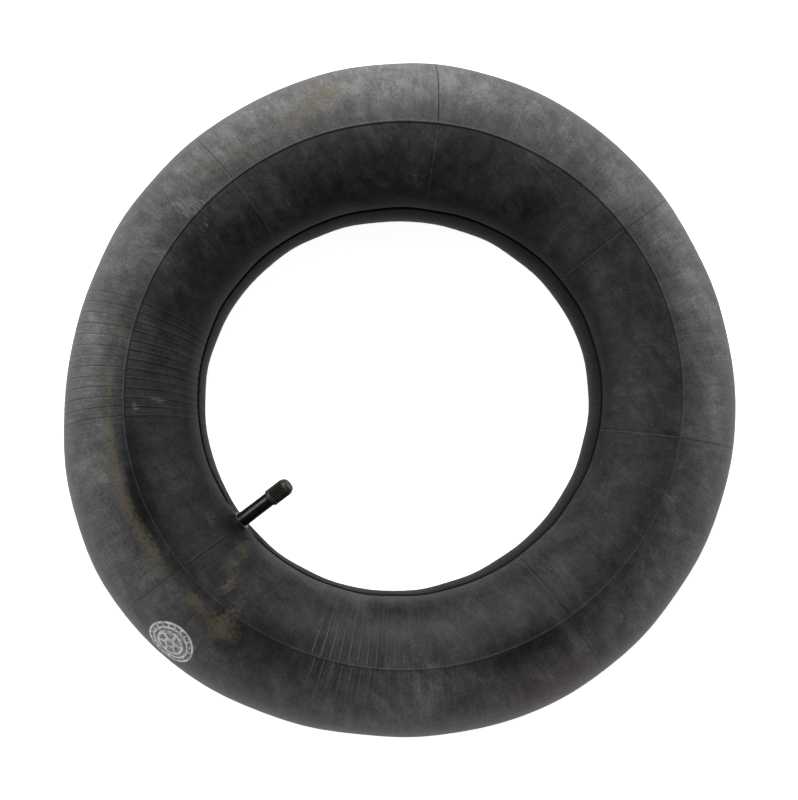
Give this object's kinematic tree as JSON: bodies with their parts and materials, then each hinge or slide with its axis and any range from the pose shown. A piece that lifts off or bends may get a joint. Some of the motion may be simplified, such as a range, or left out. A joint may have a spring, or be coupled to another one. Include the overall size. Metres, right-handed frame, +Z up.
{
  "type": "inner tube",
  "caption": "Butyl inner tube for a small pneumatic tyre, lightly inflated and lying flat, with a straight rubber-covered valve, its core and a screw-on dust cap.",
  "frame": {"origin": "middle of the ring's bounding box, on the surface that the tube lies on", "axes": "+Z up, along the ring's axis; the valve is on the -X side and points along +X, rising by 25 degrees"},
  "size_m": [0.387, 0.3807, 0.083],
  "materials": {
    "butyl": "dusty matt",
    "moulded_rubber": "satin",
    "brass": "machined",
    "nickel": "nickel plated",
    "spring_steel": "drawn wire",
    "sealing_rubber": "matt",
    "sealing_sleeve": "satin",
    "cap_plastic": "satin, ribbed"
  },
  "bodies": {
    "tube": {"tube_body": "butyl", "valve_rubber": "moulded_rubber", "stem_insert": "brass", "core_plug": "nickel", "core_barrel": "brass", "core_gasket": "sealing_sleeve", "core_spring": "spring_steel"},
    "valve_pin": {"core_pin": "brass", "core_cup": "brass", "core_seal": "sealing_rubber"},
    "cap_slide": {"cap_liner": "sealing_rubber"},
    "cap": {"dust_cap": "cap_plastic"}
  },
  "joints": [
    {"name": "pin_press", "type": "slide", "parent": "tube", "child": "valve_pin", "axis": [-0.9063, 0, -0.4226], "range_m": [0, 0.0015], "stiffness_N_per_m": 1200, "deforming": ["core_spring"]},
    {"name": "cap_travel", "type": "slide", "parent": "tube", "child": "cap_slide", "axis": [0.9063, 0, 0.4226], "range_m": [0, 0.0127]},
    {"name": "cap_spin", "type": "hinge", "parent": "cap_slide", "child": "cap", "pos_m": [-0.08004, 0, 0.07441], "axis": [0.9063, 0, 0.4226], "range_deg": [0, 5761]}
  ],
  "couplings": [
    {"joint": "cap_spin", "follows": "cap_travel", "rad_per_m": 7915.8}
  ]
}
